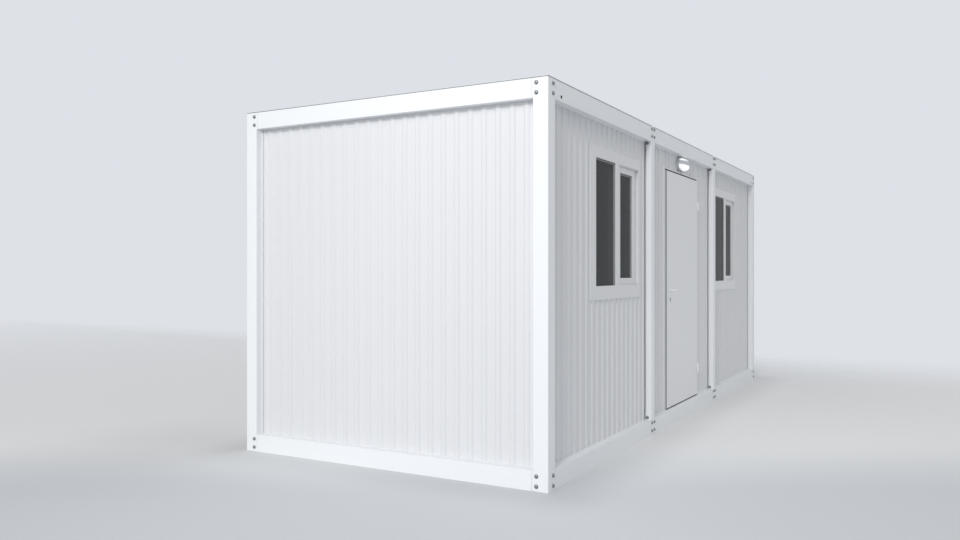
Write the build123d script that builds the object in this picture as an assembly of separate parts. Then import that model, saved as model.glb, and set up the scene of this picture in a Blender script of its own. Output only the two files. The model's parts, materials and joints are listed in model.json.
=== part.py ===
"""A site cabin of three framed modules bolted side by side, with a door and two windows.

Each module has posts and rails folded from sheet steel, ribbed wall panels set back
between them, a floor deck and a roof panel. The origin is on the ground at the middle of
the plan, +Z is up, the door and the windows face -Y and the long side runs along X.
Depths are measured from the outer face of the frame into the cabin.
"""

import os

from build123d import *

# Whole cabin
module_count = 3
module_width = 2020.0
cabin_depth = 2440.0
module_gap = 0.6

# Frame of folded sheet
frame_sheet = 4.0
frame_depth = 108.0
bottom_rail_height = 125.0
top_rail_height = 119.0
rail_lip = 20.0
corner_post_width = 100.0
junction_post_width = 40.0
post_return_depth = 43.0
post_return_lip = 10.0
corner_edge_lip = 12.0
corner_lip_gap = 4.0
junction_block_width = 96.0
junction_lug_height = 50.0
junction_lug_step = 2.0
fold_radius = 6.0
rail_end_gap = 1.5
inner_rail_depth = 80.0

# Roof and floor
roof_skin = 3.0
roof_seal_height = 5.0
ceiling_rise = 4.0
joint_cover_width = 80.0
floor_thickness = 85.0

# Ribbed wall panels
wall_thickness = 52.0
rib_pitch = 100.0
rib_height = 8.0
rib_crest = 26.0
rib_flank = 10.0
rib_edge_margin = 12.0
corner_margin = 25.0

# Door
door_width = 989.0
door_height = 2055.0
door_thickness = 50.0
sill_height = 3.0
door_face_depth = 40.0
door_gap = 5.0
door_frame_face_depth = 54.0
jamb_width = 60.0
head_height = 22.0
door_stop = 20.0
door_stop_depth = 13.0

# Hinges at the right-hand edge of the door
hinge_count = 2
hinge_radius = 9.0
hinge_pin_radius = 5.5
hinge_fit = 0.1
hinge_sleeve_length = 42.0
hinge_end_margin = 250.0
hinge_plate_width = 30.0
hinge_face_gap = 0.3

# Lever handle
lever_above_leaf_bottom = 1018.0
lever_edge_distance = 70.0
lever_length = 145.0
lever_thickness = 16.0
lever_standoff = 60.0
spindle_radius = 9.0
spindle_fit = 0.1
plate_width = 40.0
plate_height = 205.0
plate_thickness = 8.0
plate_rise = 60.0

# Window with one fixed light and one opening sash
window_width = 1040.0
window_height = 1072.0
window_head_drop = 170.0
window_to_joint = 172.0
window_face_depth = 52.0
window_frame_thickness = 66.0
window_left = 99.0
window_mullion = 72.0
window_right = 36.0
window_top = 80.0
window_sill = 97.0
fixed_light_width = 390.0
sash_setback = 22.0
sash_thickness = 40.0
sash_stile = 84.0
sash_rail = 50.0
sash_gap = 2.0
sash_stop = 15.0
fixed_reveal_depth = 46.0
fixed_back_step = 14.0
glass_thickness = 5.0
glass_setback = 10.0
glass_rebate = 8.0

# Bulkhead lamp over the door
lamp_width = 284.0
lamp_height = 126.0
lamp_clearance = 9.5
lamp_base_thickness = 22.0
lamp_rim = 8.0
lamp_bulge = 44.0
lamp_crown = 0.78
lamp_offset = -25.0

half_length = module_count * module_width / 2
half_depth = cabin_depth / 2
door_bottom = bottom_rail_height + sill_height + door_gap
top_of_door_frame = door_bottom + door_height + door_gap + head_height
lamp_centre_height = top_of_door_frame + lamp_clearance + lamp_height / 2
underside_of_rails = lamp_centre_height + lamp_height / 2 + lamp_clearance
top_of_rails = underside_of_rails + top_rail_height
cabin_height = top_of_rails + roof_seal_height + roof_skin
lever_height = door_bottom + lever_above_leaf_bottom
window_bottom = underside_of_rails - window_head_drop - window_height
wall_face_depth = frame_depth - wall_thickness
corner_return_depth = wall_face_depth - corner_lip_gap - frame_sheet
joint_planes = [module_width * (i + 1) - half_length for i in range(module_count - 1)]
window_centre = half_length - module_width + window_to_joint + window_width / 2


def box(x, y, z):
    """A box given by its low and high limit on each axis."""
    size = (x[1] - x[0], y[1] - y[0], z[1] - z[0])
    middle = ((x[0] + x[1]) / 2, (y[0] + y[1]) / 2, (z[0] + z[1]) / 2)
    return Pos(*middle) * Box(*size)


def folded_section(points):
    """Section of a sheet folded along the given outer outline."""
    outline = Polyline(*points)
    return make_face(offset(outline, amount=frame_sheet, side=Side.RIGHT, kind=Kind.INTERSECTION, closed=True))


def mirror_x(shape):
    return mirror(shape, about=Plane.YZ)


def mirror_y(shape):
    return mirror(shape, about=Plane.XZ)


def post_blocks(width):
    """End blocks of a post, which the rails and the wall panels meet."""
    bottom = box((0, width), (0, frame_depth), (0, bottom_rail_height))
    top = box((0, width), (0, frame_depth), (underside_of_rails, top_of_rails))
    return bottom, top


def rounded_at_corner(post):
    """Post with the fold along its outer vertical edge rounded."""
    edges = [e for e in post.edges().filter_by(Axis.Z) if abs(e.center().X) + abs(e.center().Y) < 0.01]
    return fillet(edges, fold_radius)


def corner_post():
    """Post at the front left corner: a folded angle with a block at each end.

    Its edges run back to the wall panels and end in a lip that covers the panels' margins.
    """
    width, back = corner_post_width, corner_return_depth
    lip = width + corner_edge_lip
    outline = [(lip, back), (width, back), (width, 0), (0, 0), (0, width), (back, width), (back, lip)]
    shaft_height = underside_of_rails - bottom_rail_height
    shaft = Pos(0, 0, bottom_rail_height) * extrude(folded_section(outline), shaft_height, dir=(0, 0, 1))
    bottom, top = post_blocks(frame_depth)
    return Pos(-half_length, -half_depth, 0) * rounded_at_corner(shaft + bottom + top)


def junction_post(plane):
    """Slim post pair where two modules meet at the front, one post for each module."""
    width, back = junction_post_width, post_return_depth
    outline = [(width - post_return_lip, back), (width, back), (width, 0), (0, 0), (0, frame_depth)]
    shaft_height = underside_of_rails - bottom_rail_height
    shaft = Pos(0, 0, bottom_rail_height) * extrude(folded_section(outline), shaft_height, dir=(0, 0, 1))
    bottom, top = post_blocks(junction_block_width)
    lug_x, lug_y = (0, width + junction_lug_step), (0, back + junction_lug_step)
    foot_lug = box(lug_x, lug_y, (bottom_rail_height, bottom_rail_height + junction_lug_height))
    head_lug = box(lug_x, lug_y, (underside_of_rails - junction_lug_height, underside_of_rails))
    post = rounded_at_corner(shaft + bottom + top + foot_lug + head_lug)
    right = Pos(module_gap / 2, -half_depth, 0) * post
    return Pos(plane, 0, 0) * Compound([mirror_x(right), right])


def rail_section(height, depth):
    """Channel section, open to the cabin, with a lip on each flange: depth along X, height along Y."""
    outline = [(depth, rail_lip), (depth, 0), (0, 0), (0, height), (depth, height), (depth, height - rail_lip)]
    return folded_section(outline)


def rail_along_x(height, start, end):
    """Front rail between two x positions, standing on the level z = 0."""
    section = Plane.YZ * rail_section(height, frame_depth)
    return Pos(start, -half_depth, 0) * extrude(section, end - start, dir=(1, 0, 0))


def rail_along_y(height, depth):
    """Rail between the front and rear posts, with its outer face on the plane x = 0."""
    section = Plane.XZ * rail_section(height, depth)
    length = cabin_depth - 2 * (frame_depth + rail_end_gap)
    return Pos(0, -length / 2, 0) * extrude(section, length, dir=(0, 1, 0))


def front_rails(height, level):
    """One rail for each module, from end block to end block."""
    rails = []
    for i in range(module_count):
        left, right = module_span(i, frame_depth, junction_block_width + module_gap / 2)
        rails.append(Pos(0, 0, level) * rail_along_x(height, left + rail_end_gap, right - rail_end_gap))
    return Compound(rails)


def inner_rails(height, level):
    """Rails on both sides of each joint between modules."""
    rails = []
    for plane in joint_planes:
        right = Pos(module_gap / 2, 0, level) * rail_along_y(height, inner_rail_depth)
        rails += [Pos(plane, 0, 0) * right, Pos(plane, 0, 0) * mirror_x(right)]
    return Compound(rails)


def module_span(i, outer_edge, joint_edge):
    """Low and high x of something in module i, inset from a cabin end or from a joint."""
    start = i * module_width - half_length
    low = outer_edge if i == 0 else joint_edge
    high = outer_edge if i == module_count - 1 else joint_edge
    return start + low, start + module_width - high


def floor_decks():
    """Deck of each module, held between the lips of its bottom rails."""
    y = (frame_depth - half_depth, half_depth - frame_depth)
    z = (bottom_rail_height - floor_thickness, bottom_rail_height)
    spans = [module_span(i, frame_depth, inner_rail_depth + module_gap / 2) for i in range(module_count)]
    return Compound([box(x, y, z) for x in spans])


def roof_panels():
    """Insulated panel of each module with a top skin that laps over the rails."""
    panels = []
    skin_bottom = cabin_height - roof_skin
    for i in range(module_count):
        core_x = module_span(i, frame_depth, inner_rail_depth + module_gap / 2)
        core_y = (frame_depth - half_depth, half_depth - frame_depth)
        core = box(core_x, core_y, (underside_of_rails + ceiling_rise, skin_bottom))
        skin_x = module_span(i, 0, joint_cover_width / 2)
        skin = box(skin_x, (-half_depth, half_depth), (skin_bottom, cabin_height))
        panels.append(core + skin)
    return Compound(panels)


def roof_joint_covers():
    """Capping strips over the joints between modules, resting on the inner rails."""
    half = joint_cover_width / 2
    y = (-half_depth, half_depth)
    covers = [box((plane - half, plane + half), y, (top_of_rails, cabin_height)) for plane in joint_planes]
    return Compound(covers)


def ribbed_panel(start, end, rib_origin, bottom, top, margins=(0, 0)):
    """Front wall panel between two x positions, with ribs on a pitch counted from rib_origin.

    The margins are the widths of a flat edge level with the rib crests, at the start and the end.
    """
    foot = rib_crest / 2 + rib_flank
    crest_depth, valley_depth = wall_face_depth, wall_face_depth + rib_height
    first = int((start - rib_origin) // rib_pitch)
    last = int((end - rib_origin) // rib_pitch) + 1
    low, high = [margin + rib_flank if margin else rib_edge_margin for margin in margins]
    outline = [(end, frame_depth), (start, frame_depth)]
    if margins[0]:
        outline += [(start, crest_depth), (start + margins[0], crest_depth), (start + low, valley_depth)]
    else:
        outline.append((start, valley_depth))
    for i in range(first, last + 1):
        centre = rib_origin + (i + 0.5) * rib_pitch
        if centre - foot < start + low or centre + foot > end - high:
            continue
        outline += [(centre - foot, valley_depth), (centre - rib_crest / 2, crest_depth)]
        outline += [(centre + rib_crest / 2, crest_depth), (centre + foot, valley_depth)]
    if margins[1]:
        outline += [(end - high, valley_depth), (end - margins[1], crest_depth), (end, crest_depth)]
    else:
        outline.append((end, valley_depth))
    face = make_face(Polyline(*outline, close=True))
    return Pos(0, -half_depth, bottom) * extrude(face, top - bottom, dir=(0, 0, 1))


def front_panel(i):
    """Full-height front panel of module i."""
    start, end = module_span(i, wall_face_depth, module_gap / 2 + frame_sheet)
    middle = (i + 0.5) * module_width - half_length
    margin = corner_post_width + corner_margin - wall_face_depth
    margins = (margin if i == 0 else 0, margin if i == module_count - 1 else 0)
    return ribbed_panel(start, end, middle, bottom_rail_height, underside_of_rails, margins)


def window_wall(i, centre):
    """Front panel with the cut-out that the window frame fills."""
    x = (centre - window_width / 2, centre + window_width / 2)
    z = (window_bottom, window_bottom + window_height)
    return front_panel(i) - box(x, (-half_depth, frame_depth - half_depth + 1), z)


def door_walls():
    """The door bay's panel, split left of, right of and over the door frame."""
    i = module_count // 2
    start, end = module_span(i, wall_face_depth, module_gap / 2 + frame_sheet)
    middle = (i + 0.5) * module_width - half_length
    edge = door_width / 2 + door_gap + jamb_width
    left = ribbed_panel(start, middle - edge, middle, bottom_rail_height, underside_of_rails)
    right = ribbed_panel(middle + edge, end, middle, bottom_rail_height, underside_of_rails)
    over = ribbed_panel(middle - edge, middle + edge, middle, top_of_door_frame, underside_of_rails)
    return left, right, over


def end_wall():
    """Left end panel, fitted between the front and rear panels."""
    half = half_depth - frame_depth
    margin = corner_post_width + corner_margin - frame_depth
    panel = ribbed_panel(-half, half, 0, bottom_rail_height, underside_of_rails, (margin, margin))
    return Pos(-half_length, 0, 0) * Rot(0, 0, -90) * Pos(0, half_depth, 0) * panel


def door_frame():
    """Steel frame round the door with a stop behind the leaf and a low sill."""
    clear_x = door_width / 2 + door_gap
    clear_z = (door_bottom - door_gap, door_bottom + door_height + door_gap)
    y = (door_frame_face_depth - half_depth, frame_depth - half_depth)
    outer = box((-clear_x - jamb_width, clear_x + jamb_width), y, (bottom_rail_height, top_of_door_frame))
    opening = box((-clear_x, clear_x), (y[0], y[1] - door_stop_depth), clear_z)
    way_x = (door_stop - clear_x, clear_x - door_stop)
    way = box(way_x, y, (clear_z[0], clear_z[1] - door_stop))
    return outer - opening - way


def door_leaf():
    """Flush leaf with a bore for the lever's spindle."""
    y = (door_face_depth - half_depth, door_face_depth + door_thickness - half_depth)
    leaf = box((-door_width / 2, door_width / 2), y, (door_bottom, door_bottom + door_height))
    return leaf - spindle(spindle_radius + spindle_fit)


def lever_x():
    return lever_edge_distance - door_width / 2


def spindle(radius):
    """Round bar through the leaf that carries both levers, at the given radius."""
    reach = door_face_depth - lever_standoff, door_face_depth + door_thickness + lever_standoff
    middle = (reach[0] + reach[1]) / 2 - half_depth
    return Pos(lever_x(), middle, lever_height) * Rot(90, 0, 0) * Cylinder(radius, reach[1] - reach[0])


def lever_handle():
    """Spindle with a lever on each side, both pointing at the hinges."""
    x = (lever_x() - lever_thickness / 2, lever_x() + lever_length)
    z = (lever_height - lever_thickness / 2, lever_height + lever_thickness / 2)
    outside = door_face_depth - lever_standoff - half_depth
    inside = door_face_depth + door_thickness + lever_standoff - half_depth
    levers = box(x, (outside, outside + lever_thickness), z) + box(x, (inside - lever_thickness, inside), z)
    return levers + spindle(spindle_radius)


def handle_plates():
    """Long plates on both faces of the leaf."""
    x = (lever_x() - plate_width / 2, lever_x() + plate_width / 2)
    top = lever_height + plate_rise
    outer = door_face_depth - half_depth
    inner = outer + door_thickness
    plates = [box(x, (outer - plate_thickness, outer), (top - plate_height, top))]
    plates.append(box(x, (inner, inner + plate_thickness), (top - plate_height, top)))
    bore = spindle(spindle_radius + spindle_fit)
    return Compound([plate - bore for plate in plates])


def hinge_axis():
    """X and Y of the hinge pins, in front of the gap at the leaf's right edge."""
    return door_width / 2 + door_gap / 2, door_face_depth - hinge_radius - half_depth


def hinge_levels():
    """Height at which each sleeve stands on its pin's shoulder."""
    low = door_bottom + hinge_end_margin
    high = door_bottom + door_height - hinge_end_margin
    return [low + (high - low) * i / (hinge_count - 1) for i in range(hinge_count)]


def hinge_pins():
    """Fixed half of each hinge: a shoulder and a pin on an arm from the frame's face."""
    x, y = hinge_axis()
    face = door_frame_face_depth - half_depth
    pieces = []
    for level in hinge_levels():
        shoulder = Pos(x, y, level - hinge_sleeve_length / 2) * Cylinder(hinge_radius, hinge_sleeve_length)
        pin = Pos(x, y, level + hinge_sleeve_length / 2) * Cylinder(hinge_pin_radius, hinge_sleeve_length)
        arm_x = (door_width / 2 + door_gap, x + hinge_radius)
        arm = box(arm_x, (y, face), (level - hinge_sleeve_length, level))
        foot_x = (arm_x[0], arm_x[0] + hinge_plate_width)
        foot = box(foot_x, (face - frame_sheet, face), (level - hinge_sleeve_length, level))
        pieces.append(shoulder + pin + arm + foot)
    return Compound(pieces)


def hinge_sleeves():
    """Moving half of each hinge: a sleeve over the pin with a plate on the leaf's face."""
    x, y = hinge_axis()
    face = door_face_depth - half_depth
    pieces = []
    for level in hinge_levels():
        z = (level + hinge_face_gap, level + hinge_sleeve_length)
        middle = (z[0] + z[1]) / 2
        sleeve = Pos(x, y, middle) * Cylinder(hinge_radius, z[1] - z[0])
        plate = box((x - hinge_plate_width, x), (face - frame_sheet, face), z)
        bore = Pos(x, y, middle) * Cylinder(hinge_pin_radius + hinge_fit, z[1] - z[0])
        pieces.append(sleeve + plate - bore)
    return Compound(pieces)


def window_lights(centre):
    """X limits of the fixed light and of the sash opening, and their common z limits."""
    left = centre - window_width / 2
    fixed = (left + window_left, left + window_left + fixed_light_width)
    opening = (fixed[1] + window_mullion, left + window_width - window_right)
    return fixed, opening, (window_bottom + window_sill, window_bottom + window_height - window_top)


def grown(span, amount):
    return span[0] - amount, span[1] + amount


def glass_panes(centre):
    """Fixed pane and sash pane, each let into a groove of what holds it."""
    fixed, opening, z = window_lights(centre)
    fixed_front = window_face_depth + glass_setback - half_depth
    sash_front = fixed_front + sash_setback
    fixed_y = (fixed_front, fixed_front + glass_thickness)
    sash_y = (sash_front, sash_front + glass_thickness)
    sash_x = grown(opening, -sash_gap - sash_stile + glass_rebate)
    sash_z = grown(z, -sash_gap - sash_rail + glass_rebate)
    return box(grown(fixed, glass_rebate), fixed_y, grown(z, glass_rebate)), box(sash_x, sash_y, sash_z)


def window_frame(centre):
    """Flat surround and mullion, with a stop behind the sash and a groove for the fixed pane.

    Behind the fixed pane the frame steps back, so that it shows a narrow inner edge.
    """
    fixed, opening, z = window_lights(centre)
    front = window_face_depth - half_depth
    y = (front, front + window_frame_thickness)
    outer_x = (centre - window_width / 2, centre + window_width / 2)
    frame = box(outer_x, y, (window_bottom, window_bottom + window_height))
    frame -= box(fixed, y, z)
    frame -= box(grown(fixed, fixed_back_step), (front + fixed_reveal_depth, y[1]), grown(z, fixed_back_step))
    frame -= box(opening, (front, front + sash_setback + sash_thickness), z)
    frame -= box(grown(opening, -sash_stop), y, grown(z, -sash_stop))
    return frame - glass_panes(centre)[0]


def window_sash(centre):
    """Sash set back in the right-hand opening, seated on the stop."""
    fixed, opening, z = window_lights(centre)
    front = window_face_depth + sash_setback - half_depth
    y = (front, front + sash_thickness)
    sash = box(grown(opening, -sash_gap), y, grown(z, -sash_gap))
    sash -= box(grown(opening, -sash_gap - sash_stile), y, grown(z, -sash_gap - sash_rail))
    return sash - glass_panes(centre)[1]


def lamp_outline(inset):
    return Plane.XZ * Ellipse(lamp_width / 2 - inset, lamp_height / 2 - inset)


def lamp_base():
    """Oval back of the lamp, flat against the rib crests."""
    back = wall_face_depth - half_depth
    oval = extrude(lamp_outline(0), lamp_base_thickness, dir=(0, -1, 0))
    return Pos(lamp_offset, back, lamp_centre_height) * oval


def lamp_diffuser():
    """Domed oval cover on the lamp's base."""
    front = wall_face_depth - half_depth - lamp_base_thickness
    half_width, half_height = lamp_width / 2 - lamp_rim, lamp_height / 2 - lamp_rim
    crown = Plane.XZ.offset(lamp_bulge) * Ellipse(half_width * lamp_crown, half_height * lamp_crown)
    dome = loft([lamp_outline(lamp_rim), crown])
    return Pos(lamp_offset, front, lamp_centre_height) * dome


def build():
    """Every piece of the cabin by node name."""
    nodes = {}
    post = corner_post()
    nodes["front_left_post"] = post
    nodes["front_right_post"] = mirror_x(post)
    nodes["rear_left_post"] = mirror_y(post)
    nodes["rear_right_post"] = mirror_y(mirror_x(post))
    for i, plane in enumerate(joint_planes, 1):
        nodes[f"front_junction_posts_{i}"] = junction_post(plane)
        nodes[f"rear_junction_posts_{i}"] = mirror_y(junction_post(plane))

    nodes["front_bottom_rails"] = front_rails(bottom_rail_height, 0)
    nodes["front_top_rails"] = front_rails(top_rail_height, underside_of_rails)
    nodes["rear_bottom_rails"] = mirror_y(nodes["front_bottom_rails"])
    nodes["rear_top_rails"] = mirror_y(nodes["front_top_rails"])
    end_bottom = Pos(-half_length, 0, 0) * rail_along_y(bottom_rail_height, frame_depth)
    end_top = Pos(-half_length, 0, underside_of_rails) * rail_along_y(top_rail_height, frame_depth)
    nodes["left_bottom_rail"], nodes["right_bottom_rail"] = end_bottom, mirror_x(end_bottom)
    nodes["left_top_rail"], nodes["right_top_rail"] = end_top, mirror_x(end_top)
    nodes["inner_bottom_rails"] = inner_rails(bottom_rail_height, 0)
    nodes["inner_top_rails"] = inner_rails(top_rail_height, underside_of_rails)

    nodes["floor_decks"] = floor_decks()
    nodes["roof_panels"] = roof_panels()
    nodes["roof_joint_covers"] = roof_joint_covers()

    nodes["left_end_wall"] = end_wall()
    nodes["right_end_wall"] = mirror_x(nodes["left_end_wall"])
    for i in range(module_count):
        nodes[f"rear_wall_{i + 1}"] = mirror_y(front_panel(i))
    nodes["front_wall_left"] = window_wall(0, -window_centre)
    nodes["front_wall_right"] = window_wall(module_count - 1, window_centre)
    left, right, over = door_walls()
    nodes["door_wall_left"], nodes["door_wall_right"], nodes["door_wall_over"] = left, right, over

    nodes["door_frame"] = door_frame()
    nodes["door_leaf"] = door_leaf()
    nodes["door_hinge_pins"] = hinge_pins()
    nodes["door_hinge_sleeves"] = hinge_sleeves()
    nodes["door_handle_plates"] = handle_plates()
    nodes["door_lever"] = lever_handle()

    for side, centre in (("left", -window_centre), ("right", window_centre)):
        nodes[f"{side}_window_frame"] = window_frame(centre)
        nodes[f"{side}_window_sash"] = window_sash(centre)
        nodes[f"{side}_window_glass"] = Compound(glass_panes(centre))

    nodes["lamp_base"] = lamp_base()
    nodes["lamp_diffuser"] = lamp_diffuser()
    return nodes


os.makedirs("parts", exist_ok=True)
for node, shape in build().items():
    export_step(shape, f"parts/{node}.step")
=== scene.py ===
# %% [markdown]
# # A white site cabin of three framed modules
# The real cabin is bolted together from folded and powder coated steel frames, ribbed steel
# wall panels, plastic windows and a flush steel door. Its sheet metal already has the right
# shape in the frame that is loaded here, so it keeps its meshes and only gets finishes.
# The small things that make it real are modelled here: bolts, seals, the lever, the lock
# and the lamp.

# %% Load the fixed frame and keep its size
import json
import math

import bpy
from mathutils import Matrix, Vector


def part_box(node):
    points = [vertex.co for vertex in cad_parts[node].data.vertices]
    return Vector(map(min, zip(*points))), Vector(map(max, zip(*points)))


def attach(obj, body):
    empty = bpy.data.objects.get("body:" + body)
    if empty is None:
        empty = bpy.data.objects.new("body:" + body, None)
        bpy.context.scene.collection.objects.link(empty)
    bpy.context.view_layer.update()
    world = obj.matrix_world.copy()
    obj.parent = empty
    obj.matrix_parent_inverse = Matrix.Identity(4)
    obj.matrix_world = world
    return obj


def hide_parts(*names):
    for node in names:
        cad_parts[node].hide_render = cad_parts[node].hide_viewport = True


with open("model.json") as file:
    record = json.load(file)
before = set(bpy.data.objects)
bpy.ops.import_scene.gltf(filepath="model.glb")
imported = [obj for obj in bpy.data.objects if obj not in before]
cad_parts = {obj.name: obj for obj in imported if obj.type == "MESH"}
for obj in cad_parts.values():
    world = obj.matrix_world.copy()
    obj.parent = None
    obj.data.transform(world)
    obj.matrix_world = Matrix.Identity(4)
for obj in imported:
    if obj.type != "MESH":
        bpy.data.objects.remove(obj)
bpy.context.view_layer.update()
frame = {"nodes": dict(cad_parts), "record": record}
nodes = frame["nodes"]

# %% [markdown]
# Paint makers name a colour as it looks on a screen, in sRGB. Blender mixes light in linear
# values, so each hex colour goes through one function. A second small function adds one node
# to a material, sets its values and links what is handed to it. With those two, every finish
# below reads as a short recipe.

# %% Colour and node helpers
def paint(hex_code):
    """Linear colour of an sRGB hex value."""
    parts = [int(hex_code[i : i + 2], 16) / 255 for i in (1, 3, 5)]
    return [c / 12.92 if c <= 0.04045 else ((c + 0.055) / 1.055) ** 2.4 for c in parts] + [1.0]


def set_inputs(tree, node, inputs):
    """Set several inputs of a node, or link them where another node's output is given."""
    for name, value in inputs.items():
        if isinstance(value, bpy.types.NodeSocket):
            tree.links.new(value, node.inputs[name])
        else:
            node.inputs[name].default_value = value


def add_node(tree, kind, inputs=None, **settings):
    """One node with its settings, and with its inputs set or linked."""
    node = tree.nodes.new(kind)
    for name, value in settings.items():
        setattr(node, name, value)
    set_inputs(tree, node, inputs or {})
    return node


def new_material(name):
    """Material with a principled shader linked to its output, and the object's own coordinates."""
    material = bpy.data.materials.new(name)
    material.use_nodes = True
    tree = material.node_tree
    tree.nodes.clear()
    shader = add_node(tree, "ShaderNodeBsdfPrincipled")
    add_node(tree, "ShaderNodeOutputMaterial", {"Surface": shader.outputs["BSDF"]})
    place = add_node(tree, "ShaderNodeTexCoord").outputs["Object"]
    return material, tree, shader, place


print("a screen's middle grey is", round(paint("#808080")[0], 3), "in linear light")

# %% [markdown]
# Powder coat on folded steel: the powder melts into a satin skin with a faint orange peel.
# Its ripple is 2 to 3 mm wide and a few hundredths of a millimetre high. At this distance
# that is too fine to see, so the ripple is drawn at about 6 mm. The white drifts by about one
# percent from sheet to sheet and over a metre, which keeps a large flat face from looking dead.

# %% Powder coated frame steel
def coated_steel(name, light, dark, roughness, ripple_mm, ripple_depth):
    """Coated sheet: two close whites, satin gloss and a fine ripple."""
    material, tree, shader, place = new_material(name)
    drift = add_node(tree, "ShaderNodeTexNoise",
                     {"Vector": place, "Scale": 0.9, "Detail": 3.0, "Roughness": 0.55})
    tone = add_node(tree, "ShaderNodeMix",
                    {"Factor": drift.outputs["Fac"], "A": paint(dark), "B": paint(light)}, data_type="RGBA")
    ripple = add_node(tree, "ShaderNodeTexNoise",
                      {"Vector": place, "Scale": 1000.0 / ripple_mm, "Detail": 2.0})
    bump = add_node(tree, "ShaderNodeBump",
                    {"Height": ripple.outputs["Fac"], "Strength": 1.0, "Distance": ripple_depth})
    sheen = add_node(tree, "ShaderNodeMapRange",
                     {"Value": drift.outputs["Fac"], "From Min": 0.3, "From Max": 0.7,
                      "To Min": roughness - 0.04, "To Max": roughness + 0.04})
    set_inputs(tree, shader, {"Base Color": tone.outputs["Result"], "Roughness": sheen.outputs["Result"],
                              "Normal": bump.outputs["Normal"], "IOR": 1.5})
    return material


frame_white = coated_steel("satin_white_powder_coat", "#F5F7F9", "#F2F4F6", 0.42, 6.0, 0.00003)
print("made", frame_white.name)

# %% [markdown]
# The ribbed wall skins are coil coated: the flat strip is painted on rollers before it is
# formed, so the film is thinner, flatter and a shade greyer than powder coat. The roof sheet
# is the same stock with more gloss lost to weather, and the door leaf is powder coated again.

# %% Wall, roof and door sheet
wall_white = coated_steel("white_coil_coated_wall_sheet", "#E5E6E8", "#E1E2E4", 0.48, 9.0, 0.00002)
roof_white = coated_steel("white_coated_roof_sheet", "#E4E6E7", "#DADCDD", 0.5, 9.0, 0.00003)
door_white = coated_steel("satin_white_door_coat", "#F0F1F2", "#EDEEEF", 0.4, 5.0, 0.00002)
print("made", wall_white.name, roof_white.name, door_white.name)

# %% [markdown]
# The floor is a cement bonded board with a grey vinyl sheet on it. Such vinyl has a fine
# two-tone chip print of 3 to 5 mm and a soft emboss, with a matt wear layer on top.

# %% Vinyl floor
floor_vinyl, tree, shader, place = new_material("chip_vinyl_on_cement_board")
chips_per_metre = 250.0
chips = add_node(tree, "ShaderNodeTexVoronoi", {"Vector": place, "Scale": chips_per_metre})
chip_tone = add_node(tree, "ShaderNodeSeparateColor", {"Color": chips.outputs["Color"]})
vinyl_tone = add_node(tree, "ShaderNodeMix",
                      {"Factor": chip_tone.outputs["Red"], "A": paint("#8B8F93"), "B": paint("#A3A7AA")},
                      data_type="RGBA")
emboss = add_node(tree, "ShaderNodeBump",
                  {"Height": chips.outputs["Distance"], "Strength": 0.6, "Distance": 0.0002})
set_inputs(tree, shader, {"Base Color": vinyl_tone.outputs["Result"], "Roughness": 0.55,
                          "Normal": emboss.outputs["Normal"]})
print("made", floor_vinyl.name)

# %% [markdown]
# Window profiles are extruded hard PVC, smoother and glossier than paint, with very faint
# lines along the extrusion. The glass is grey tinted float with a thin film on it: it lets
# about a fifth of the light through and mirrors a little of the studio. An alpha of 0.55 on a
# dark grey body does both, and it counts twice because a ray crosses the front and the back.
# The grey strips along the head and one side of each pane are painted shade, a dull grey for
# the reveal where it lies in shadow.

# %% Window plastic, glass and painted reveal shade
window_pvc = coated_steel("extruded_white_pvc", "#E6E7E8", "#E3E4E5", 0.3, 14.0, 0.00002)
# Grey for painted shade in the window reveals.
painted_window_shade = coated_steel("grey_painted_window_shade", "#8E9091", "#86888A", 0.9, 2.0, 0.0002)

window_glass, tree, shader, place = new_material("grey_tinted_float_glass")
wave = add_node(tree, "ShaderNodeTexNoise", {"Vector": place, "Scale": 2.2, "Detail": 1.0})
wave_bump = add_node(tree, "ShaderNodeBump",
                     {"Height": wave.outputs["Fac"], "Strength": 0.4, "Distance": 0.0008})
set_inputs(tree, shader, {"Base Color": paint("#5A5D5D"), "Roughness": 0.03, "IOR": 1.1, "Alpha": 0.55,
                          "Normal": wave_bump.outputs["Normal"]})
print("made", window_pvc.name, window_glass.name, painted_window_shade.name)

# %% [markdown]
# Bolts and washers are zinc plated steel: a cool grey metal with a cloudy crystalline bloom.
# Door and window seals are black EPDM rubber with a chalky surface, and the joint under the
# roof skin is an elastic grey mastic, whose grey is partly painted shade for the shadow in that
# joint. All three are one recipe: two close tones in clouds.

# %% Zinc, rubber and mastic
def clouded(name, dark, light, clouds_per_metre, detail, finish):
    """Material whose colour drifts in clouds between two close tones."""
    material, tree, shader, place = new_material(name)
    clouds = add_node(tree, "ShaderNodeTexNoise",
                      {"Vector": place, "Scale": clouds_per_metre, "Detail": detail})
    tone = add_node(tree, "ShaderNodeMix",
                    {"Factor": clouds.outputs["Fac"], "A": paint(dark), "B": paint(light)}, data_type="RGBA")
    set_inputs(tree, shader, {"Base Color": tone.outputs["Result"], **finish})
    return material


zinc = clouded("zinc_plated_steel", "#7C7F82", "#A4A7AA", 220.0, 4.0, {"Metallic": 0.85, "Roughness": 0.38})
rubber = clouded("black_epdm_rubber", "#1A1B1C", "#2B2C2E", 60.0, 3.0, {"Roughness": 0.75})
# Partly painted shade: the mastic's grey also stands for the shadow in the joint under the roof.
roof_mastic_and_shade = clouded("grey_roof_mastic_and_painted_shade", "#85888A", "#96999B", 14.0, 3.0, {"Roughness": 0.7})
print("made", zinc.name, rubber.name, roof_mastic_and_shade.name)

# %% [markdown]
# The lever and its plates are satin anodised aluminium, brushed before the bath, which
# leaves hair lines along the plate. The lines are noise that is squeezed 1500 times a metre
# across the brushing and only 40 times along it.

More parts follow.
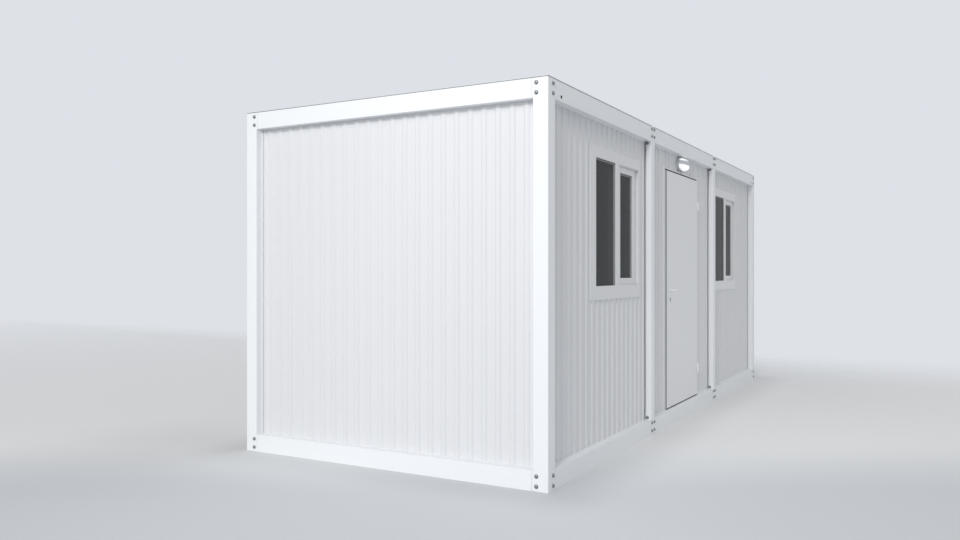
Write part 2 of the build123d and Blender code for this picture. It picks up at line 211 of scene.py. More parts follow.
# %% Brushed aluminium
aluminium, tree, shader, place = new_material("satin_anodised_aluminium")
along = add_node(tree, "ShaderNodeMapping", {"Vector": place, "Scale": (1500.0, 1500.0, 40.0)})
hair = add_node(tree, "ShaderNodeTexNoise", {"Vector": along.outputs["Vector"], "Scale": 1.0, "Detail": 2.0})
hair_gloss = add_node(tree, "ShaderNodeMapRange",
                      {"Value": hair.outputs["Fac"], "To Min": 0.28, "To Max": 0.46})
hair_bump = add_node(tree, "ShaderNodeBump",
                     {"Height": hair.outputs["Fac"], "Strength": 0.5, "Distance": 0.00002})
set_inputs(tree, shader, {"Base Color": paint("#E9EAEC"), "Metallic": 0.45,
                          "Roughness": hair_gloss.outputs["Result"], "Normal": hair_bump.outputs["Normal"]})
print("made", aluminium.name)

# %% [markdown]
# The lamp over the door has a white ABS body and an opal polycarbonate cover. The lamp is on,
# so the cover glows a little by itself, enough to stand out from the shaded wall.

# %% Lamp plastics
lamp_abs = coated_steel("moulded_white_abs", "#CFD2D5", "#C8CBCE", 0.35, 4.0, 0.00002)
opal = clouded("opal_polycarbonate", "#F6F7F8", "#FFFFFF", 9.0, 1.0,
               {"Roughness": 0.35, "Subsurface Weight": 0.1, "Emission Color": paint("#FFFFFF"),
                "Emission Strength": 0.45})
print("made", lamp_abs.name, "and", opal.name)

# %% [markdown]
# Each sheet metal piece is already in place. A finish goes on by putting the material in the
# object's slot, and nothing is moved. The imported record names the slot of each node, so one
# small table from slot to material dresses the whole cabin.

# %% Dress the carried-over nodes
finish_of_slot = {
    "white_steel": frame_white,
    "wall_steel": wall_white,
    "roof_steel": roof_white,
    "floor_board": floor_vinyl,
    "door_steel": door_white,
    "hinge_steel": door_white,
    "handle_metal": aluminium,
    "window_plastic": window_pvc,
    "window_glass": window_glass,
    "lamp_body": lamp_abs,
    "lamp_cover": opal,
}
for part in frame["record"]["subparts"]:
    mesh = nodes[part["node"]].data
    mesh.materials.clear()
    mesh.materials.append(finish_of_slot[part["material_slot"]])
print("dressed", len(nodes), "nodes")

# %% [markdown]
# New pieces start from a primitive of the real size. Its faces are then picked by where they
# are or which way they look, and shaped in edit mode, as one would do by hand. The first
# helpers pick faces, shape them and smooth the result.

# %% Helpers that shape a piece
def start_fresh():
    """Nothing selected, so the next operator touches only what it adds."""
    bpy.ops.object.select_all(action="DESELECT")


def hold(piece):
    """Only this piece selected, and active for the next operator."""
    start_fresh()
    piece.select_set(True)
    bpy.context.view_layer.objects.active = piece


def every_face(face):
    """Test that picks the whole piece."""
    return True


def front_face(face):
    """Test that picks what looks to the front, along -Y."""
    return face.normal.y < -0.9


def pick_faces(piece, wanted):
    """Enter edit mode with only the faces selected that pass the test."""
    mesh = piece.data
    for things in (mesh.vertices, mesh.edges):
        for thing in things:
            thing.select = False
    for face in mesh.polygons:
        face.select = wanted(face)
    bpy.context.view_layer.objects.active = piece
    bpy.ops.object.mode_set(mode="EDIT")
    bpy.ops.mesh.select_mode(type="FACE")


def inset_in_steps(steps):
    """Inset the picked faces by each thickness, and raise or sink them by each depth."""
    for thickness, depth in steps:
        bpy.ops.mesh.inset(thickness=thickness, depth=depth)


def leave_edit():
    """Back to object mode."""
    bpy.ops.object.mode_set(mode="OBJECT")


def smooth(piece, degrees):
    """Shade the piece smooth, apart from edges that are sharper than the angle."""
    hold(piece)
    bpy.ops.object.shade_smooth_by_angle(angle=math.radians(degrees))


print("helpers to pick, shape and smooth are ready")

# %% [markdown]
# The next helpers give a shaped piece its finish, repeat it and hang it on its body. A piece
# that is used often is made once at the origin, facing -Y, and each copy gets a mesh of its
# own that is moved and turned to its place.

# %% Helpers that finish, repeat and mount a piece
def settle(piece, material):
    """Put the piece's place into its mesh and give it its finish."""
    hold(piece)
    bpy.ops.object.transform_apply(location=True, rotation=True, scale=True)
    piece.data.materials.clear()
    piece.data.materials.append(material)
    return piece


def disc(radius, height, sides, material):
    """Flat disc that stands on the plane y = 0 and faces -Y."""
    start_fresh()
    bpy.ops.mesh.primitive_cylinder_add(vertices=sides, radius=radius, depth=height,
                                        location=(0, -height / 2, 0), rotation=(math.pi / 2, 0, 0))
    return settle(bpy.context.object, material)


def copies(master, places):
    """Copies of a master that lies at the origin, each with its own mesh, one for each matrix."""
    made = []
    for place in places:
        twin = master.copy()
        twin.data = master.data.copy()
        twin.data.transform(place)
        bpy.context.scene.collection.objects.link(twin)
        made.append(twin)
    return made


def joined(name, pieces):
    """One piece out of several that belong together."""
    hold(pieces[0])
    for piece in pieces[1:]:
        piece.select_set(True)
    if len(pieces) > 1:
        bpy.ops.object.join()
    pieces[0].name = name
    pieces[0].data.name = name
    return pieces[0]


def mount(piece, body="cabin"):
    """Let a finished piece ride on its body."""
    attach(piece, body)


def at(x, y, z, direction):
    """Place on the cabin for something made facing -Y at the origin, turned to its direction."""
    turns = {"-y": 0.0, "+x": 90.0, "+y": 180.0, "-x": -90.0}
    return Matrix.Translation((x, y, z)) @ Matrix.Rotation(math.radians(turns[direction]), 4, "Z")


print("helpers to finish, repeat and mount are ready")

# %% [markdown]
# The frames are held by domed bolts on washers, in pairs at each corner of each face. One
# bolt is made from a disc: the washer's rim is bevelled, its front is inset to the head's
# size, pulled out, and pulled out again while it shrinks, which leaves a dome. A small socket
# is sunk in the crown. The washer is about 26 mm across and the head 21 mm.

# %% The bolt
washer_radius, washer_height, head_height = 0.0132, 0.0026, 0.0028
washer_steps = [(0.0008, 0.0006), (0.0020, 0.0)]
dome_steps = [(0.0016, 0.0018), (0.0020, 0.0012), (0.0018, 0.0004)]
socket_step = (0.0006, -0.0022)
bolt = disc(washer_radius, washer_height, 28, zinc)
bolt.name = "bolt_master"
pick_faces(bolt, front_face)
inset_in_steps(washer_steps)
bpy.ops.mesh.extrude_region_move(TRANSFORM_OT_translate={"value": (0, -head_height, 0)})
inset_in_steps([*dome_steps, socket_step])
leave_edit()
smooth(bolt, 35)
print("bolt", len(bolt.data.polygons), "faces")

# %% [markdown]
# Each corner has two bolts near the ground and two near the top, on both of its faces. The
# frame's own boxes say where its faces are, so the bolts lie on the steel.

# %% Bolts on the corner posts
corner_low, corner_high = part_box("front_left_post")
left_x, front_y, rail_top = corner_low.x, corner_low.y, corner_high.z
right_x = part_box("front_right_post")[1].x
rear_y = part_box("rear_left_post")[1].y
long_sides = [(front_y, "front", "-y", 1), (rear_y, "rear", "+y", -1)]
short_sides = [(left_x, "left", "-x", 1), (right_x, "right", "+x", -1)]
bolt_levels = [0.030, 0.091, rail_top - 0.089, rail_top - 0.029]
bolt_inset_long, bolt_inset_short = 0.070, 0.078
for side_x, side, out_x, inward_x in short_sides:
    for side_y, end, out_y, inward_y in long_sides:
        spots = [at(side_x + inward_x * bolt_inset_long, side_y, z, out_y) for z in bolt_levels]
        spots += [at(side_x, side_y + inward_y * bolt_inset_short, z, out_x) for z in bolt_levels]
        mount(joined(f"bolts_{end}_{side}", copies(bolt, spots)))
print("bolted the corners")

# %% [markdown]
# Where two modules meet, the end blocks of both posts are bolted, so there the bolts come in
# two columns. They sit about a centimetre higher than at the corners.

# %% Bolts at the joints between modules
joint_levels = [0.039, 0.101, rail_top - 0.077, rail_top - 0.017]
column_shift = 0.030
joint_xs = [sum(corner.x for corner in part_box(f"front_junction_posts_{i}")) / 2 for i in (1, 2)]
for i, joint_x in enumerate(joint_xs, 1):
    for side_y, end, out_y, _ in long_sides:
        columns = (joint_x - column_shift, joint_x + column_shift)
        spots = [at(x, side_y, z, out_y) for x in columns for z in joint_levels]
        mount(joined(f"bolts_{end}_joint_{i}", copies(bolt, spots)))
print("bolted the joints at", [round(x, 3) for x in joint_xs])

# %% [markdown]
# Each slim joint post has a lug at head and foot with one bolt through its side, 33 mm
# behind the front. The same bolt is turned to look along the wall.

# %% Lug bolts
lug_face, lug_depth = 0.0423, 0.033
lug_levels = [0.143, rail_top - 0.131]
for i, joint_x in enumerate(joint_xs, 1):
    for side_y, end, _, inward_y in long_sides:
        y = side_y + inward_y * lug_depth
        spots = [at(joint_x - lug_face, y, z, "-x") for z in lug_levels]
        spots += [at(joint_x + lug_face, y, z, "+x") for z in lug_levels]
        mount(joined(f"lug_bolts_{end}_joint_{i}", copies(bolt, spots)))
bpy.data.objects.remove(bolt)
print("bolted the lugs")

# %% [markdown]
# Near each end of the long top rail there is one small black hole, a drain that is closed by a
# rubber grommet. It is a flat ring of 21 mm whose middle is sunk by 1 mm, so it reads as a
# hole with a soft rim.

# %% Drain grommets
grommet_radius, grommet_height = 0.0105, 0.0012
drain_drop, drain_inset = 0.090, 0.193
grommet = disc(grommet_radius, grommet_height, 24, rubber)
pick_faces(grommet, front_face)
inset_in_steps([(0.0012, 0.0005), (0.0012, -0.0010)])
leave_edit()
for side_y, end, out_y, _ in long_sides:
    drain_xs = (left_x + drain_inset, right_x - drain_inset)
    spots = [at(x, side_y, rail_top - drain_drop, out_y) for x in drain_xs]
    mount(joined(f"drain_grommets_{end}", copies(grommet, spots)))
bpy.data.objects.remove(grommet)
print("set the grommets")

# %% [markdown]
# Between the top of the rails and the roof skin runs a strip of grey mastic, which draws the
# thin darker line at the top edge; its grey is partly painted shade for the shadow in the gap
# under the roof skin. It is broken at the joint covers. Each strip is a bar whose edges are
# rounded, because a pressed seal bulges.

# %% Roof seal
def rounded_bar(name, low, high, radius, material):
    """Bar between two corners with all its edges rounded."""
    start_fresh()
    low, high = Vector(low), Vector(high)
    bpy.ops.mesh.primitive_cube_add(size=1.0, location=(low + high) / 2)
    bpy.context.object.scale = high - low
    bar = settle(bpy.context.object, material)
    bar.name = name
    pick_faces(bar, every_face)
    bpy.ops.mesh.bevel(offset=radius, segments=3, affect="EDGES")
    leave_edit()
    smooth(bar, 40)
    return bar


seal_back, seal_width, seal_high, seal_round = 0.0025, 0.012, 0.005, 0.0012
cover_half = 0.040
long_ys = (front_y + seal_back, rear_y - seal_back - seal_width)
short_xs = (left_x + seal_back, right_x - seal_back - seal_width)
stretches = [
    (left_x + seal_back, joint_xs[0] - cover_half),
    (joint_xs[0] + cover_half, joint_xs[1] - cover_half),
    (joint_xs[1] + cover_half, right_x - seal_back),
]
corners = [((start, y), (end, y + seal_width)) for start, end in stretches for y in long_ys]
corners += [((x, long_ys[0] + seal_width), (x + seal_width, long_ys[1])) for x in short_xs]
# Mastic strips whose grey is partly painted shade.
seal_bars = [rounded_bar("bar", (*low, rail_top), (*high, rail_top + seal_high), seal_round, roof_mastic_and_shade)
             for low, high in corners]
mount(joined("roof_seal", seal_bars))
print("laid the roof seal in", len(corners), "strips")

# %% [markdown]
# The leaf closes on a rubber strip that sits on the stop of the door frame. It shows only
# when the door stands open, as a black line up both sides and over the head.

# %% Door seal
leaf_low, leaf_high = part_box("door_leaf")
stop_depth, seal_air, seal_lap, strip = 0.013, 0.0012, 0.002, 0.008
stop_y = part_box("door_frame")[1].y - stop_depth
seal_front = leaf_high.y + seal_air
seal_left, seal_right = leaf_low.x - seal_lap, leaf_high.x + seal_lap
seal_foot, seal_head = leaf_low.z + seal_lap, leaf_high.z + seal_lap
rims = [
    ((seal_left, seal_foot), (seal_left + strip, leaf_high.z)),
    ((seal_right - strip, seal_foot), (seal_right, leaf_high.z)),
    ((seal_left + strip, seal_head - strip), (seal_right - strip, seal_head)),
]
seals = [rounded_bar("bar", (x, seal_front, z), (end_x, stop_y, end_z), 0.001, rubber)
         for (x, z), (end_x, end_z) in rims]
mount(joined("door_seal", seals))
print("set the door seal at", round(seal_front, 4))

# %% [markdown]
# The leaf stands a little proud of the frame. A black profile runs on the frame's face over
# the head and down the hinge side, 5.5 mm clear of the leaf, and leaves room for the foot of
# each hinge. A flat strip lies on the rail under the leaf, so the door is drawn by a dark line.
# These rubber strips are also painted shade: they stand for the shadow in the gap round the
# leaf and under it.

# %% Rain seal and painted shadow line round the leaf
frame_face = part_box("door_frame")[0].y
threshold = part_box("front_bottom_rails")[1].z
clear, wide, proud, seat = 0.0055, 0.009, 0.007, 0.0002
head_overrun, rail_gap = 0.004, 0.004
hinge_length, hinge_foot, foot_gap = 0.084, 0.042, 0.002
hinge_low, hinge_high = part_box("door_hinge_pins")
left, right, head = leaf_low.x - clear, leaf_high.x + clear, leaf_high.z + clear
stops = [threshold + rail_gap]
for foot in (hinge_low.z, hinge_high.z - hinge_length):
    stops += [foot - foot_gap, foot + hinge_foot + foot_gap]
stops.append(head)
strips = [((left - head_overrun, head), (right + wide, head + wide))]
strips += [((right, stops[i]), (right + wide, stops[i + 1])) for i in range(0, len(stops), 2)]
# Black strips, partly painted shade for the shadow gap round the leaf.
gasket_and_shadow_line = [rounded_bar("bar", (x, frame_face - proud, z), (end_x, frame_face - seat, end_z), 0.0015, rubber)
          for (x, z), (end_x, end_z) in strips]
# Painted shade under the leaf: a flat black strip on the rail.
sill_front, sill_height = leaf_low.y - 0.004, 0.0024
gasket_and_shadow_line.append(rounded_bar("bar", (left, sill_front, threshold + seat),
                          (right, frame_face - seat, threshold + sill_height), 0.0008, rubber))
mount(joined("door_rain_gasket_and_painted_shadow", gasket_and_shadow_line))
print("ran the gasket round the leaf in", len(gasket_and_shadow_line), "strips")

# %% [markdown]
# On the lock side the line is a grey edge profile on the leaf itself, because there the frame
# has to stay clear for the latch. Its grey is painted shade for the shadow gap at that edge. It
# is about a millimetre thick and swings with the leaf.

# %% Edge profile and painted shadow line on the lock side
# Grey that paints the shadow gap on the lock side of the leaf.
grey_edge_shade = coated_steel("grey_tpe_edge_painted_shade", "#9EA0A2", "#96989A", 0.7, 4.0, 0.00002)
edge_low = (leaf_low.x - 0.0006, leaf_low.y + 0.001, leaf_low.z + 0.002)
edge_high = (leaf_low.x + 0.001, leaf_low.y + 0.012, leaf_high.z - 0.002)
mount(rounded_bar("leaf_edge_profile_and_shadow_line", edge_low, edge_high, 0.0004, grey_edge_shade), "door")
print("edged the leaf over", round(edge_high[2] - edge_low[2], 3), "m")

# %% [markdown]
# The lever on the real door is a round bar that bends through a right angle and then runs
# level towards the hinges. A bar is swept here by hand: a disc is pulled out of the plate,
# turned in a few steps round the bend and pulled again, and at the tip it shrinks to a dome.

# %% Lever
lever_low, lever_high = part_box("door_lever")
bar_radius, bend, bend_steps = 0.0085, 0.016, 6
spindle_x, spindle_z = lever_low.x + 0.009, (lever_low.z + lever_high.z) / 2
plate_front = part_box("door_handle_plates")[0].y
root_y, grip_y = plate_front - seat, lever_low.y + 0.008
tip_steps = [(0.009, 0.75), (0.003, 0.4)]
grip_length = lever_high.x - spindle_x - bend - sum(length for length, _ in tip_steps)


def pull(x, y):
    """Pull the picked end of the bar out by one step."""
    bpy.ops.mesh.extrude_region_move(TRANSFORM_OT_translate={"value": (x, y, 0)})


start_fresh()
bpy.ops.mesh.primitive_circle_add(vertices=20, radius=bar_radius, fill_type="NGON", location=(0, 0, 0),
                                  rotation=(math.pi / 2, 0, 0))
lever = settle(bpy.context.object, aluminium)
lever.name = "lever_outside"
lever.data.transform(Matrix.Translation((spindle_x, root_y, spindle_z)))
pick_faces(lever, every_face)
pull(0, grip_y + bend - root_y)
for step in range(bend_steps):
    pull(0, 0)
    bpy.ops.transform.rotate(value=-math.pi / 2 / bend_steps, orient_axis="Z",
                             center_override=(spindle_x + bend, grip_y + bend, spindle_z))
for length, shrink in [(grip_length, 0.9), *tip_steps]:
    pull(length, 0)
    bpy.ops.transform.resize(value=(1, shrink, shrink))
leave_edit()
print("lever box", [round(v, 4) for v in lever.bound_box[0]], [round(v, 4) for v in lever.bound_box[6]])

# %% [markdown]
# Pulling faces out step by step leaves doubled points and faces that look inwards, so the bar
# is cleaned before it is smoothed. Then the inner lever is made as its mirror image, and its
# faces are turned outwards again.

# %% Finish both levers
pick_faces(lever, every_face)
bpy.ops.mesh.remove_doubles(threshold=0.00001)
bpy.ops.mesh.normals_make_consistent(inside=False)
leave_edit()
smooth(lever, 50)
middle_y = (leaf_low.y + leaf_high.y) / 2
mirror = Matrix.Translation((0, 2 * middle_y, 0)) @ Matrix.Scale(-1, 4, (0, 1, 0))
inner = copies(lever, [mirror])[0]
pick_faces(inner, every_face)
bpy.ops.mesh.normals_make_consistent(inside=False)
leave_edit()
levers = joined("levers", [lever, inner])
mount(levers, "lever")
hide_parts("door_lever")
print("levers done,", len(levers.data.polygons), "faces")

# %% [markdown]
# Below the lever sits the lock cylinder. Its face is the usual keyhole outline: a round plug
# of 17 mm over a narrow tail. A disc is inset and sunk for the plug, and a second, flattened
# piece is the tail.

# %% Lock cylinder
plug_radius, plug_height, lock_drop = 0.0085, 0.003, 0.072
plug_steps = [(0.0007, 0.0005), (0.0012, 0.0), (0.0003, -0.0008)]
tail_low, tail_high = (-0.005, -0.003, -0.0255), (0.005, 0.0, -0.006)
slit_low, slit_high = (-0.0008, -0.0034, -0.0045), (0.0008, -0.0012, 0.0045)


def lock_face(name, y, outward):
    """Round plug with its tail on one face of the door, looking along outward."""
    plug = disc(plug_radius, plug_height, 28, zinc)
    pick_faces(plug, front_face)
    inset_in_steps(plug_steps)
    leave_edit()
    tail = rounded_bar("tail", tail_low, tail_high, 0.0012, zinc)
    slit = rounded_bar("slit", slit_low, slit_high, 0.0003, rubber)
    lock = joined(name, [plug, tail, slit])
    lock.data.transform(at(spindle_x, y, spindle_z - lock_drop, outward))
    return lock


plate_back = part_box("door_handle_plates")[1].y
locks = [lock_face("lock_outside", plate_front, "-y"), lock_face("lock_inside", plate_back, "+y")]
mount(joined("lock_cylinder", locks), "door")
print("lock set", lock_drop, "m below the lever")

# %% [markdown]
# The lamp over the door is an oval bulkhead fitting. Its opal cover swells out of the body.
# The cover starts as a ball that is cut in half, made fuller and squarer than a true oval,
# and stretched to its size.

# %% Lamp cover
fullness, squareness = 0.6, 2.6


def ball(name, material):
    """Ball of radius 1 whose poles lie front and back."""
    start_fresh()
    bpy.ops.mesh.primitive_uv_sphere_add(segments=48, ring_count=24, radius=1.0, location=(0, 0, 0),
                                         rotation=(math.pi / 2, 0, 0))
    piece = settle(bpy.context.object, material)
    piece.name = name
    return piece


def cut_away(piece, point, direction):
    """Cut a piece with a plane, drop what lies on the direction's side and close the cut."""
    pick_faces(piece, every_face)
    bpy.ops.mesh.bisect(plane_co=point, plane_no=direction, use_fill=True, clear_outer=True)
    leave_edit()


def swell(piece):
    """Turn a round ball into a fuller dome with a squarer outline."""
    for vertex in piece.data.vertices:
        reach = math.hypot(vertex.co.x, vertex.co.z)
        if reach > 1e-6:
            across, up = abs(vertex.co.x) / reach, abs(vertex.co.z) / reach
            outline = (across ** squareness + up ** squareness) ** (1 / squareness)
            fuller = reach ** fullness / outline / reach
            vertex.co.x *= fuller
            vertex.co.z *= fuller


base_low, base_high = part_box("lamp_base")
cover_low, cover_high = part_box("lamp_diffuser")
lamp_centre = (base_low + base_high) / 2
base_size, cover_size = base_high - base_low, cover_high - cover_low


def oval(y, wide, deep, high):
    """Matrix that stretches a form of radius 1 to the lamp's oval and puts it in place."""
    return Matrix.Translation((lamp_centre.x, y, lamp_centre.z)) @ Matrix.Diagonal((wide, deep, high, 1))


cover = ball("lamp_cover", opal)
cut_away(cover, (0, 0, 0), (0, 1, 0))
swell(cover)
cover.data.transform(oval(cover_high.y, cover_size.x / 2, cover_size.y, cover_size.z / 2))
smooth(cover, 60)
mount(cover)
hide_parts("lamp_diffuser")
print("lamp cover", [round(v, 3) for v in cover_size])

# %% [markdown]
# The body of the lamp is a flat oval plate. Its front is inset twice and sunk once, which
# leaves a raised lip round the cover.

# %% Lamp body
start_fresh()
bpy.ops.mesh.primitive_cylinder_add(vertices=64, radius=1.0, depth=1.0, location=(0, 0, 0),
                                    rotation=(math.pi / 2, 0, 0))
housing = settle(bpy.context.object, lamp_abs)
housing.name = "lamp_body"
housing.data.transform(oval(lamp_centre.y, base_size.x / 2, base_size.y, base_size.z / 2))
pick_faces(housing, front_face)
inset_in_steps([(0.003, 0.003), (0.004, 0.0), (0.002, -0.004)])
leave_edit()
smooth(housing, 40)
mount(housing)
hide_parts("lamp_base")
print("lamp body", [round(v, 3) for v in base_size])

# %% [markdown]
# A bar of the body crosses the upper part of the cover. It is a slice of a slightly larger copy
# of the cover's own form, cut by two level planes and by the plane of the foot.

# %% Lamp band
band_foot, band_head = lamp_centre.z - 0.006, lamp_centre.z + 0.029
over_wide, over_deep, over_high = 0.004, 0.005, 0.003
band = ball("lamp_band", lamp_abs)
swell(band)
band.data.transform(oval(cover_high.y, cover_size.x / 2 + over_wide, cover_size.y + over_deep,
                         cover_size.z / 2 + over_high))
cut_away(band, (0, 0, band_foot), (0, 0, -1))
cut_away(band, (0, 0, band_head), (0, 0, 1))
cut_away(band, (0, cover_high.y, 0), (0, 1, 0))
smooth(band, 40)
mount(band)
print("lamp band", round(band_head - band_foot, 3), "m high")

# %% [markdown]
# Each pane is held by a black glazing seal that shows as a thin line round the glass. It is a
# flat ring made from a plane: the middle is inset and deleted, and a Solidify modifier gives it
# its thickness.

# %% Glazing seals
frame_head, frame_sill, frame_side, fixed_width = 0.080, 0.097, 0.099, 0.390
sash_stile, sash_rail, glass_depth = 0.084, 0.050, 0.010
seal_line, seal_proud = 0.003, 0.002


def panes(side):
    """Left, right, foot and head of the fixed pane and the sash pane, and Y before each glass."""
    low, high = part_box(f"{side}_window_frame")
    sash_low, sash_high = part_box(f"{side}_window_sash")
    fixed = (low.x + frame_side, low.x + frame_side + fixed_width,
             low.z + frame_sill, high.z - frame_head)
    sash = (sash_low.x + sash_stile, sash_high.x - sash_stile,
            sash_low.z + sash_rail, sash_high.z - sash_rail)
    return (*fixed, low.y + glass_depth), (*sash, sash_low.y + glass_depth)


def glazing_ring(start, end, foot, head, y):
    """Flat rectangular ring standing on the glass, looking to the front."""
    start_fresh()
    bpy.ops.mesh.primitive_plane_add(size=1.0, location=((start + end) / 2, y, (foot + head) / 2),
                                     rotation=(math.pi / 2, 0, 0))
    bpy.context.object.scale = (end - start, head - foot, 1)
    ring = settle(bpy.context.object, rubber)
    pick_faces(ring, every_face)
    bpy.ops.mesh.inset(thickness=seal_line, depth=0.0)
    bpy.ops.mesh.delete(type="FACE")
    leave_edit()
    solid = ring.modifiers.new("thickness", "SOLIDIFY")
    solid.thickness, solid.offset = seal_proud, 1.0
    bpy.ops.object.modifier_apply(modifier=solid.name)
    return ring


window_sides = ("left", "right")
print("fixed panes from", [round(panes(side)[0][0], 3) for side in window_sides])

# %% [markdown]
# Along the head and one side of each pane lies a grey strip of painted shade, where the reveal
# lies in shadow. It stands a few millimetres proud of the glass, inside the glazing seal.

# %% Strips of painted reveal shade
shade_strip_high, shade_strip_wide, shade_strip_proud, shade_strip_round = 0.013, 0.032, 0.0045, 0.0015


def window_shade_strips(side):
    """Strips of painted shade along the head and the right side of both panes of a window."""
    shade_bars = []
    # Each pane gets a painted shade strip under its head and one down its right side.
    for start, end, foot, head, y in panes(side):
        edge_x, edge_z = end - seal_line, head - seal_line
        under_head = edge_z - shade_strip_high
        shade_bars.append(rounded_bar("reveal_shade", (start + seal_line, y - shade_strip_proud, under_head),
                                 (edge_x, y, edge_z), shade_strip_round, painted_window_shade))
        shade_bars.append(rounded_bar("reveal_shade", (edge_x - shade_strip_wide, y - shade_strip_proud, foot + seal_line),
                                 (edge_x, y, under_head), shade_strip_round, painted_window_shade))
    return shade_bars


print("pile strips stand", shade_strip_proud, "m before the glass")

# %% [markdown]
# The sash stands back in the frame, and a thin white fin of the same plastic covers the gap
# over it and under it. With the fins each window is complete, so its seals, strips and fins
# go on one after another.

# %% Sash fins and the finished windows
fin_height, fin_inset, fin_front, fin_gap, fin_lap = 0.005, 0.004, 0.003, 0.0015, 0.0015


def sash_fins(side):
    """Fins over and under the sash of a window."""
    frame_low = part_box(f"{side}_window_frame")[0]
    sash_low, sash_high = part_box(f"{side}_window_sash")
    fins = []
    for z in (sash_low.z - fin_lap, sash_high.z + fin_lap - fin_height):
        fin_low = (sash_low.x + fin_inset, frame_low.y + fin_front, z)
        fin_high = (sash_high.x - fin_inset, sash_low.y - fin_gap, z + fin_height)
        fins.append(rounded_bar("fin", fin_low, fin_high, 0.001, window_pvc))
    return fins


for side in window_sides:
    mount(joined(f"glazing_seals_{side}", [glazing_ring(*pane) for pane in panes(side)]))
    mount(joined(f"painted_window_shades_{side}", window_shade_strips(side)))
    mount(joined(f"sash_fins_{side}", sash_fins(side)))
print("glazed both windows")

# %% [markdown]
# The cabin stands on a plain pale studio floor that melts into the background. Its tone is
# painted light and shade: painted shade makes it a little greyer in front, most of all before
# the end wall, it is painted lighter on the door side, where the cabin shades it, and it is
# almost white behind. Two slanting ramps over the floor's coordinates mix these three tones.

# %% Floor and its tones
start_fresh()
bpy.ops.mesh.primitive_circle_add(vertices=96, radius=30.0, fill_type="NGON", location=(0, 0, 0))
floor = bpy.context.object
floor.name = "studio_floor"
studio, tree, shader, place = new_material("matt_studio_floor")
slant = add_node(tree, "ShaderNodeVectorMath", {0: place, 1: (0.872, 0.490, 0.0)}, operation="DOT_PRODUCT")
behind_cabin = add_node(tree, "ShaderNodeMapRange",
                        {"Value": slant.outputs["Value"], "From Min": -3.3, "From Max": -1.8},
                        interpolation_type="SMOOTHSTEP")
sideways = add_node(tree, "ShaderNodeVectorMath",
                    {0: place, 1: (0.490, -0.872, 0.0)}, operation="DOT_PRODUCT")
door_side = add_node(tree, "ShaderNodeMapRange",
                     {"Value": sideways.outputs["Value"], "From Min": -1.3, "From Max": 0.2},
                     interpolation_type="SMOOTHSTEP")
# Painted shade and light: greyer before the end wall, lighter on the door side, where the cabin shades the
# floor.
near_light_and_shade = add_node(tree, "ShaderNodeMix",
                     {"Factor": door_side.outputs["Result"], "A": paint("#DADDE1"), "B": paint("#E4E7EB")},
                     data_type="RGBA")
# Painted shade in front, which gives way to almost white behind the cabin.
floor_light_and_shade = add_node(tree, "ShaderNodeMix",
                      {"Factor": behind_cabin.outputs["Result"], "A": near_light_and_shade.outputs["Result"],
                       "B": paint("#FCFDFD")}, data_type="RGBA")
print("floor", [round(v) for v in floor.dimensions], "m")

# %% [markdown]
# A band of half a metre round the cabin's foot is painted darker, a painted contact shadow,
# and a patch behind its left corner is painted darker too, a painted shadow of the cabin. The
# distance to the cabin's footprint is worked out in nodes: the floor is folded into one
# quarter, the quarter's half sizes are taken off, and what is left over is the gap.

# %% Painted shade on the floor
folded = add_node(tree, "ShaderNodeVectorMath", {0: place}, operation="ABSOLUTE")
outside = add_node(tree, "ShaderNodeVectorMath",
                   {0: folded.outputs["Vector"], 1: (right_x, rear_y, 0.0)}, operation="SUBTRACT")
gap = add_node(tree, "ShaderNodeVectorMath",
               {0: outside.outputs["Vector"], 1: (0.0, 0.0, 0.0)}, operation="MAXIMUM")
gap_length = add_node(tree, "ShaderNodeVectorMath", {0: gap.outputs["Vector"]}, operation="LENGTH")
# Painted contact shadow: darker towards the cabin's foot.
painted_foot_shade = add_node(tree, "ShaderNodeMapRange",
                      {"Value": gap_length.outputs["Value"], "From Min": 0.0, "From Max": 0.5,
                       "To Min": 0.84, "To Max": 1.0}, interpolation_type="SMOOTHSTEP")
# Painted shadow in a patch behind the left corner.
patch_centre = (left_x - 0.3, rear_y + 0.5, 0.0)
from_patch = add_node(tree, "ShaderNodeVectorMath", {0: place, 1: patch_centre}, operation="DISTANCE")
painted_corner_shadow = add_node(tree, "ShaderNodeMapRange",
                       {"Value": from_patch.outputs["Value"], "From Min": 0.0, "From Max": 1.6,
                        "To Min": 0.89, "To Max": 1.0}, interpolation_type="SMOOTHSTEP")
painted_shade = add_node(tree, "ShaderNodeMath",
                {0: painted_foot_shade.outputs["Result"], 1: painted_corner_shadow.outputs["Result"]}, operation="MULTIPLY")
# The floor's tone scaled by the painted shade.
shaded_floor_tone = add_node(tree, "ShaderNodeVectorMath",
                      {0: floor_light_and_shade.outputs["Result"], "Scale": painted_shade.outputs["Value"]}, operation="SCALE")
set_inputs(tree, shader, {"Base Color": shaded_floor_tone.outputs["Vector"], "Roughness": 0.9,
                          "Specular IOR Level": 0.1})
print("greyed the floor round", [round(v, 2) for v in (right_x, rear_y)])

# %% [markdown]
# The floor's edge is not a line: it thins out with distance and beyond the far end of the
# cabin, so the backdrop colour of the world shows through it more and more.

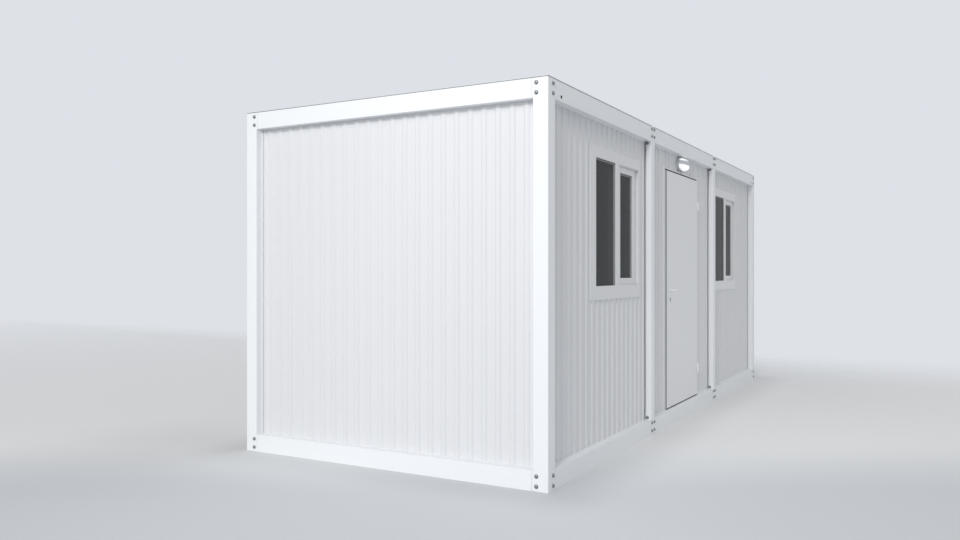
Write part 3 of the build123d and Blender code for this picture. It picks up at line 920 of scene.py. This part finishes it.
# %% Fade the floor out
distance = add_node(tree, "ShaderNodeVectorMath", {0: place}, operation="LENGTH")
away = add_node(tree, "ShaderNodeMapRange",
                {"Value": distance.outputs["Value"], "From Min": 3.0, "From Max": 22.0})
lengthwise = add_node(tree, "ShaderNodeSeparateXYZ", {"Vector": place})
beyond = add_node(tree, "ShaderNodeMapRange",
                  {"Value": lengthwise.outputs["X"], "From Min": 2.2, "From Max": 6.5},
                  interpolation_type="SMOOTHSTEP")
fade = add_node(tree, "ShaderNodeMath",
                {0: away.outputs["Result"], 1: beyond.outputs["Result"]}, operation="MAXIMUM")
clear_air = add_node(tree, "ShaderNodeBsdfTransparent")
thin = add_node(tree, "ShaderNodeMixShader",
                {"Fac": fade.outputs["Value"], 1: shader.outputs["BSDF"], 2: clear_air.outputs["BSDF"]})
tree.links.new(thin.outputs["Shader"], tree.nodes["Material Output"].inputs["Surface"])
floor.data.materials.append(studio)
print("laid the floor")

# %% [markdown]
# The sky is an even white that lights everything a little. Only the camera, and what glass and
# metal mirror or let through, sees the pale blue-grey of the backdrop, so the backdrop adds
# next to no light.

# %% World
world = bpy.data.worlds.new("studio_world")
bpy.context.scene.world = world
world.use_nodes = True
tree = world.node_tree
tree.nodes.clear()
sky = add_node(tree, "ShaderNodeBackground", {"Color": paint("#FAFCFF"), "Strength": 0.386})
backdrop = add_node(tree, "ShaderNodeBackground", {"Color": paint("#DEE1E7"), "Strength": 1.0})
path = add_node(tree, "ShaderNodeLightPath")
seen = add_node(tree, "ShaderNodeMath",
                {0: path.outputs["Is Camera Ray"], 1: path.outputs["Is Glossy Ray"]}, operation="MAXIMUM")
seen_through = add_node(tree, "ShaderNodeMath",
                        {0: seen.outputs["Value"], 1: path.outputs["Is Transmission Ray"]},
                        operation="MAXIMUM")
mixed = add_node(tree, "ShaderNodeMixShader",
                 {"Fac": seen_through.outputs["Value"], 1: sky.outputs["Background"],
                  2: backdrop.outputs["Background"]})
add_node(tree, "ShaderNodeOutputWorld", {"Surface": mixed.outputs["Shader"]})
print("hung the sky")

# %% [markdown]
# Two wide fills and a softbox add to the sky. The first fill comes from the left, almost along
# the long side, so it lifts the end wall over the door side. The second, weaker one comes over
# the door side from the right. The softbox hangs before the end wall, and a grid narrows its
# beam, so it lights the top of that wall more than its foot.

# %% Lights
def lamp(kind, name, place, direction, energy):
    """Lamp at a place that shines along a direction."""
    start_fresh()
    bpy.ops.object.light_add(type=kind, location=place)
    light = bpy.context.object
    light.name = name
    light.data.energy = energy
    light.rotation_euler = direction.to_track_quat("-Z", "Y").to_euler()
    return light.data


lamp("SUN", "wide_fill", (-8, -3, 8), Vector((0.85, -0.09, -0.40)), 1.14).angle = math.radians(50)
lamp("SUN", "door_side_fill", (0, -8, 8), Vector((-0.45, 0.75, -0.60)), 0.42).angle = math.radians(80)
softbox_place, softbox_target = Vector((-9.5, -2.3, 5.3)), Vector((-3.0, -0.2, 2.2))
softbox = lamp("AREA", "key_softbox", softbox_place, softbox_target - softbox_place, 42.0)
softbox.shape = "SQUARE"
softbox.size = 1.5
softbox.spread = math.radians(80)
print("lit the set, softbox", round((softbox_target - softbox_place).length, 2), "m from the wall")

# %% [markdown]
# The photograph is taken from eye height at a distance of about five metres from the near
# corner, with the camera level. Its place and lens come from the lines of the cabin.

# %% Camera
start_fresh()
bpy.ops.object.camera_add(location=(-7.523, -3.281, 1.322),
                          rotation=(math.radians(90), 0, math.radians(-60.66)))
camera = bpy.context.object
camera.data.sensor_width = 36.0
camera.data.lens = 31.11
camera.data.shift_y = 0.0008
bpy.context.scene.camera = camera
bpy.context.scene.view_settings.view_transform = "Standard"
print("camera at", [round(v, 3) for v in camera.location])
